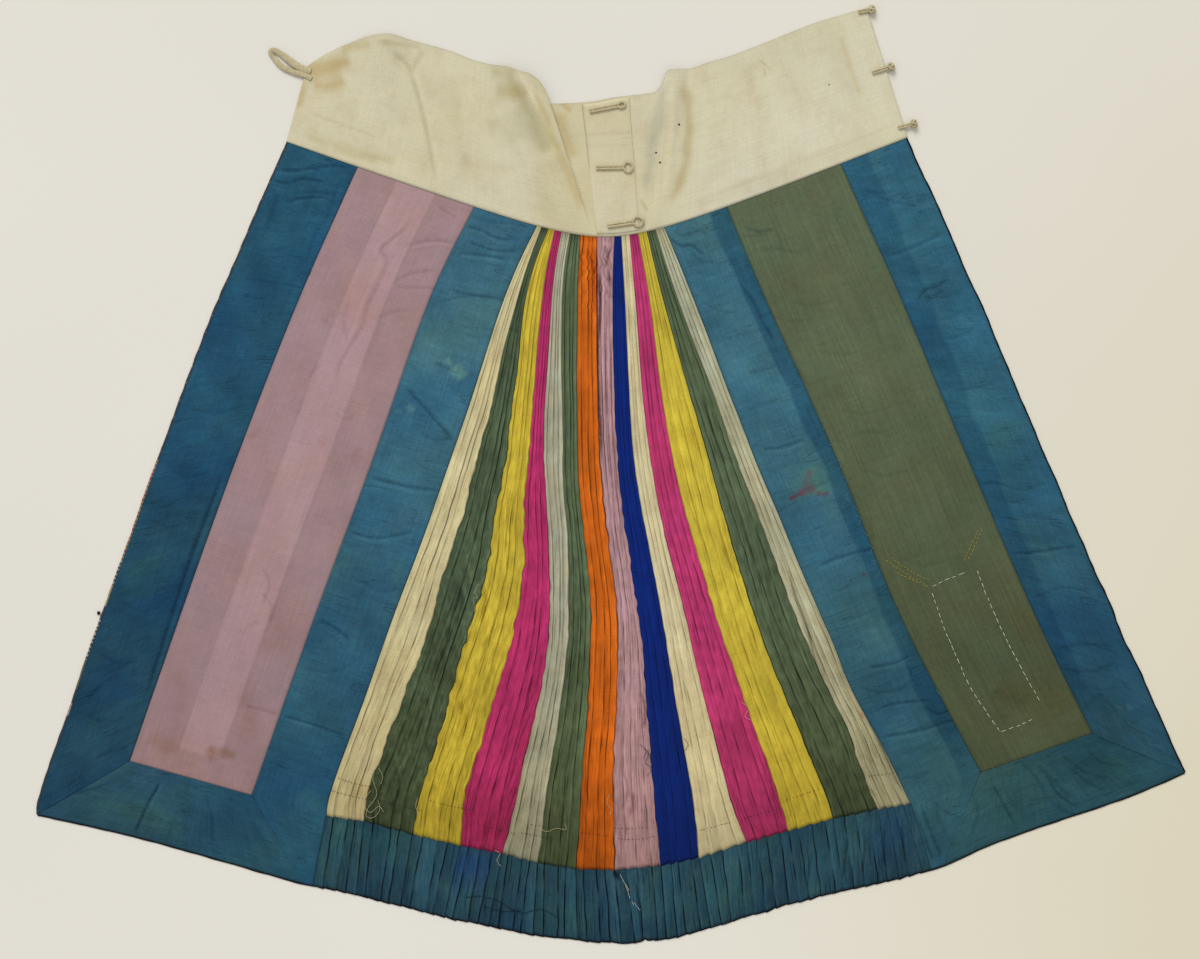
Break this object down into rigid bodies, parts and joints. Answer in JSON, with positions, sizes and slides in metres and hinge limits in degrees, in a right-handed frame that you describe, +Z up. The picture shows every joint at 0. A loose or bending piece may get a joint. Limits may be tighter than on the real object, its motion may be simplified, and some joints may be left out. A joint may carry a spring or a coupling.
{
  "type": "pleated silk wrap skirt laid flat",
  "caption": "Half of a pleated silk wrap skirt laid flat, inner face up: cotton waistband, framed side panels and narrow pleated strips that spread towards a pleated hem.",
  "frame": {"origin": "middle of the outline's bounding box, on the surface that the skirt lies on", "axes": "+X to the right of the waistband as seen, +Y towards the waistband, +Z up from the surface"},
  "size_m": [1.323, 1.0782, 0.0114],
  "materials": {
    "band_cotton": "plain slubby cotton weave, faintly stained",
    "placket_cotton": "plain cotton weave",
    "cord_cotton": "soft cotton cord and tape",
    "cream_silk": "thin plain-weave silk with a soft sheen",
    "dark_green_silk": "thin plain-weave silk with a soft sheen",
    "yellow_silk": "thin plain-weave silk with a soft sheen",
    "magenta_silk": "thin plain-weave silk with a soft sheen",
    "grey_green_silk": "thin plain-weave silk with a soft sheen",
    "green_silk": "thin plain-weave silk with a soft sheen",
    "orange_silk": "thin plain-weave silk with a soft sheen",
    "lilac_silk": "thin plain-weave silk with a soft sheen",
    "royal_blue_silk": "thin plain-weave silk with a soft sheen",
    "grey_silk": "thin plain-weave silk with a soft sheen",
    "left_blue_silk": "thin plain-weave silk with a soft sheen",
    "right_blue_silk": "thin plain-weave silk with a soft sheen",
    "hem_blue_silk": "thin plain-weave silk with a soft sheen",
    "pink_silk": "thin plain-weave silk with a soft sheen",
    "olive_silk": "thin plain-weave silk with a soft sheen",
    "piping_silk": "dull silk edging",
    "woven_trim": "narrow woven trim of black, cream, red and yellow dashes"
  },
  "bodies": {
    "root": {"button_loop_1": "cord_cotton", "button_loop_2": "cord_cotton", "button_loop_3": "cord_cotton", "green_panel": "olive_silk", "hanging_loop": "cord_cotton", "hem_band_left": "left_blue_silk", "hem_band_right": "right_blue_silk", "hem_piping": "piping_silk", "inner_band_left": "left_blue_silk", "inner_band_right": "right_blue_silk", "knot_button_1": "cord_cotton", "knot_button_2": "cord_cotton", "knot_button_3": "cord_cotton", "loop_placket": "placket_cotton", "outer_band_left": "left_blue_silk", "outer_band_right": "right_blue_silk", "pink_panel": "pink_silk", "pleated_hem": "hem_blue_silk", "side_piping": "piping_silk", "strip_01": "cream_silk", "strip_02": "dark_green_silk", "strip_03": "yellow_silk", "strip_04": "magenta_silk", "strip_05": "grey_green_silk", "strip_06": "green_silk", "strip_07": "orange_silk", "strip_08": "lilac_silk", "strip_09": "royal_blue_silk", "strip_10": "cream_silk", "strip_11": "magenta_silk", "strip_12": "yellow_silk", "strip_13": "dark_green_silk", "strip_14": "grey_silk", "waistband": "band_cotton", "woven_trim": "woven_trim"}
  },
  "joints": []
}
